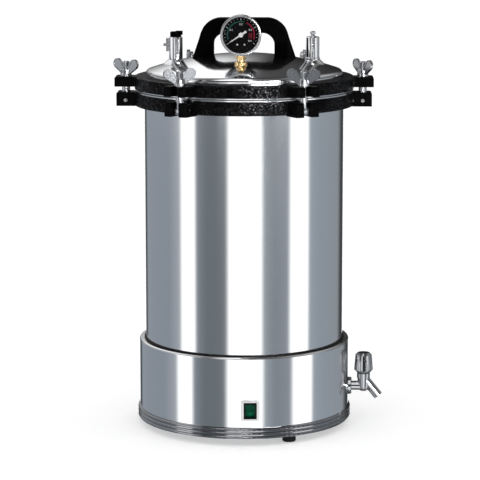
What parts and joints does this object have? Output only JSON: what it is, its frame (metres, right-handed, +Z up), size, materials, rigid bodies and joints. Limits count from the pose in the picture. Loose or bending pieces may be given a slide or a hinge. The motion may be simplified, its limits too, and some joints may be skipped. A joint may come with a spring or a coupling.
{
  "type": "portable autoclave",
  "caption": "Free-standing electric steam steriliser pot with a clamped domed lid, wing-nut swing bolts, pressure gauge, lid valves, arched handle, inner bucket and side drain tap.",
  "frame": {"origin": "on the vessel's vertical axis, at the surface that the feet stand on", "axes": "+Z up along the vessel's axis; the gauge and the mains switch face -Y; the drain tap points to +X"},
  "size_m": [0.3872, 0.3372, 0.5955],
  "materials": {
    "polished_steel": "polished",
    "inner_steel": "satin",
    "chrome_plate": "mirror",
    "zinc_steel": "bright plated",
    "black_casting": "gloss enamel on a rough casting",
    "bakelite": "gloss",
    "black_rubber": "matte",
    "silicone": "matte",
    "brass": "machined",
    "clear_glass": "clear",
    "clear_plastic": "clear moulded",
    "dial_face": "printed matte",
    "pointer_white": "matte",
    "switch_black": "gloss",
    "rocker_green": "gloss translucent",
    "heater_sheath": "dull",
    "black_nylon": "matte",
    "plate_aluminium": "satin"
  },
  "bodies": {
    "vessel": {"pot": "polished_steel", "pot_lip": "polished_steel", "body_flange": "black_casting", "hinge_pins": "zinc_steel", "base_skirt": "polished_steel", "skirt_seal": "black_rubber", "base_ring": "chrome_plate", "bottom_plate": "inner_steel", "support_posts": "inner_steel", "feet": "black_rubber", "foot_screws": "zinc_steel", "heater_element": "heater_sheath", "heater_nuts": "brass", "sieve_plate": "plate_aluminium", "drain_pipe": "inner_steel", "tap_nut": "chrome_plate", "tap_body": "chrome_plate", "tap_bonnet": "chrome_plate", "switch_bezel": "clear_plastic", "switch_housing": "switch_black", "cord_gland": "black_nylon"},
    "lid": {"lid_dome": "polished_steel", "lid_ring": "black_casting", "lid_gasket": "silicone", "handle": "bakelite", "handle_screws": "zinc_steel", "gauge_case": "chrome_plate", "gauge_lens": "clear_glass", "gauge_dial": "dial_face", "bourdon_tube": "brass", "gauge_stem": "brass", "gauge_nut": "brass", "valve_bosses": "polished_steel", "safety_valve_body": "chrome_plate", "safety_valve_spring": "inner_steel", "vent_valve_body": "chrome_plate", "vent_valve_cap": "bakelite", "exhaust_tube": "inner_steel"},
    "bucket_body": {"bucket": "inner_steel", "bucket_channel": "inner_steel", "bail_ears": "inner_steel"},
    "bail_body": {"bail": "inner_steel"},
    "pointer_body": {"gauge_pointer": "pointer_white"},
    "safety_stem_body": {"safety_valve_stem": "chrome_plate"},
    "vent_cock_body": {"vent_cock": "chrome_plate"},
    "tap_knob_body": {"tap_knob": "chrome_plate", "tap_stem": "brass"},
    "rocker_body": {"switch_rocker": "rocker_green"},
    "bolt_body_1": {"swing_bolt_1": "zinc_steel"},
    "nut_body_1": {"wing_nut_1": "zinc_steel"},
    "bolt_body_2": {"swing_bolt_2": "zinc_steel"},
    "nut_body_2": {"wing_nut_2": "zinc_steel"},
    "bolt_body_3": {"swing_bolt_3": "zinc_steel"},
    "nut_body_3": {"wing_nut_3": "zinc_steel"},
    "bolt_body_4": {"swing_bolt_4": "zinc_steel"},
    "nut_body_4": {"wing_nut_4": "zinc_steel"},
    "bolt_body_5": {"swing_bolt_5": "zinc_steel"},
    "nut_body_5": {"wing_nut_5": "zinc_steel"},
    "bolt_body_6": {"swing_bolt_6": "zinc_steel"},
    "nut_body_6": {"wing_nut_6": "zinc_steel"}
  },
  "joints": [
    {"name": "lid_lift", "type": "slide", "parent": "vessel", "child": "lid", "axis": [0, 0, 1], "range_m": [0, 0.6]},
    {"name": "bucket_lift", "type": "slide", "parent": "vessel", "child": "bucket_body", "axis": [0, 0, 1], "range_m": [0, 0.36]},
    {"name": "bail_swing", "type": "hinge", "parent": "bucket_body", "child": "bail_body", "pos_m": [0, 0, 0.464], "axis": [0, -1, 0], "range_deg": [0, 90]},
    {"name": "bolt_1_swing", "type": "hinge", "parent": "vessel", "child": "bolt_body_1", "pos_m": [0.08425, -0.14592, 0.4685], "axis": [0.866, 0.5, 0], "range_deg": [0, 180]},
    {"name": "nut_1_spin", "type": "hinge", "parent": "bolt_body_1", "child": "nut_body_1", "pos_m": [0.08425, -0.14592, 0.502], "axis": [0, 0, 1], "continuous": true},
    {"name": "bolt_2_swing", "type": "hinge", "parent": "vessel", "child": "bolt_body_2", "pos_m": [0.1685, 0, 0.4685], "axis": [0, 1, 0], "range_deg": [0, 180]},
    {"name": "nut_2_spin", "type": "hinge", "parent": "bolt_body_2", "child": "nut_body_2", "pos_m": [0.1685, 0, 0.502], "axis": [0, 0, 1], "continuous": true},
    {"name": "bolt_3_swing", "type": "hinge", "parent": "vessel", "child": "bolt_body_3", "pos_m": [0.08425, 0.14592, 0.4685], "axis": [-0.866, 0.5, 0], "range_deg": [0, 180]},
    {"name": "nut_3_spin", "type": "hinge", "parent": "bolt_body_3", "child": "nut_body_3", "pos_m": [0.08425, 0.14592, 0.502], "axis": [0, 0, 1], "continuous": true},
    {"name": "bolt_4_swing", "type": "hinge", "parent": "vessel", "child": "bolt_body_4", "pos_m": [-0.08425, 0.14592, 0.4685], "axis": [-0.866, -0.5, 0], "range_deg": [0, 180]},
    {"name": "nut_4_spin", "type": "hinge", "parent": "bolt_body_4", "child": "nut_body_4", "pos_m": [-0.08425, 0.14592, 0.502], "axis": [0, 0, 1], "continuous": true},
    {"name": "bolt_5_swing", "type": "hinge", "parent": "vessel", "child": "bolt_body_5", "pos_m": [-0.1685, 0, 0.4685], "axis": [0, -1, 0], "range_deg": [0, 180]},
    {"name": "nut_5_spin", "type": "hinge", "parent": "bolt_body_5", "child": "nut_body_5", "pos_m": [-0.1685, 0, 0.502], "axis": [0, 0, 1], "continuous": true},
    {"name": "bolt_6_swing", "type": "hinge", "parent": "vessel", "child": "bolt_body_6", "pos_m": [-0.08425, -0.14592, 0.4685], "axis": [0.866, -0.5, 0], "range_deg": [0, 180]},
    {"name": "nut_6_spin", "type": "hinge", "parent": "bolt_body_6", "child": "nut_body_6", "pos_m": [-0.08425, -0.14592, 0.502], "axis": [0, 0, 1], "continuous": true},
    {"name": "pointer_turn", "type": "hinge", "parent": "lid", "child": "pointer_body", "pos_m": [-0.0025, -0.0875, 0.567], "axis": [0, 1, 0], "range_deg": [0, 247.2]},
    {"name": "safety_lift", "type": "slide", "parent": "lid", "child": "safety_stem_body", "axis": [0, 0, 1], "range_m": [0, 0.003], "stiffness_N_per_m": 400, "springref_m": -0.003, "deforming": ["safety_valve_spring"]},
    {"name": "vent_cock_turn", "type": "hinge", "parent": "lid", "child": "vent_cock_body", "pos_m": [-0.0973, 0, 0.5465], "axis": [1, 0, 0], "range_deg": [0, 90]},
    {"name": "tap_turn", "type": "hinge", "parent": "vessel", "child": "tap_knob_body", "pos_m": [0.17289, -0.00604, 0.0726], "axis": [0, 0, 1], "range_deg": [0, 540]},
    {"name": "switch_rock", "type": "hinge", "parent": "vessel", "child": "rocker_body", "pos_m": [0.01166, -0.14814, 0.0502], "axis": [-0.9969, -0.0785, 0], "range_deg": [0, 16]}
  ],
  "couplings": [
    {"joint": "bucket_lift", "follows": "lid_lift", "ratio": 0.6},
    {"joint": "bail_swing", "follows": "lid_lift", "rad_per_m": 2.618},
    {"joint": "bolt_1_swing", "follows": "lid_lift", "rad_per_m": 5.236},
    {"joint": "bolt_2_swing", "follows": "lid_lift", "rad_per_m": 5.236},
    {"joint": "bolt_3_swing", "follows": "lid_lift", "rad_per_m": 5.236},
    {"joint": "bolt_4_swing", "follows": "lid_lift", "rad_per_m": 5.236},
    {"joint": "bolt_5_swing", "follows": "lid_lift", "rad_per_m": 5.236},
    {"joint": "bolt_6_swing", "follows": "lid_lift", "rad_per_m": 5.236}
  ]
}
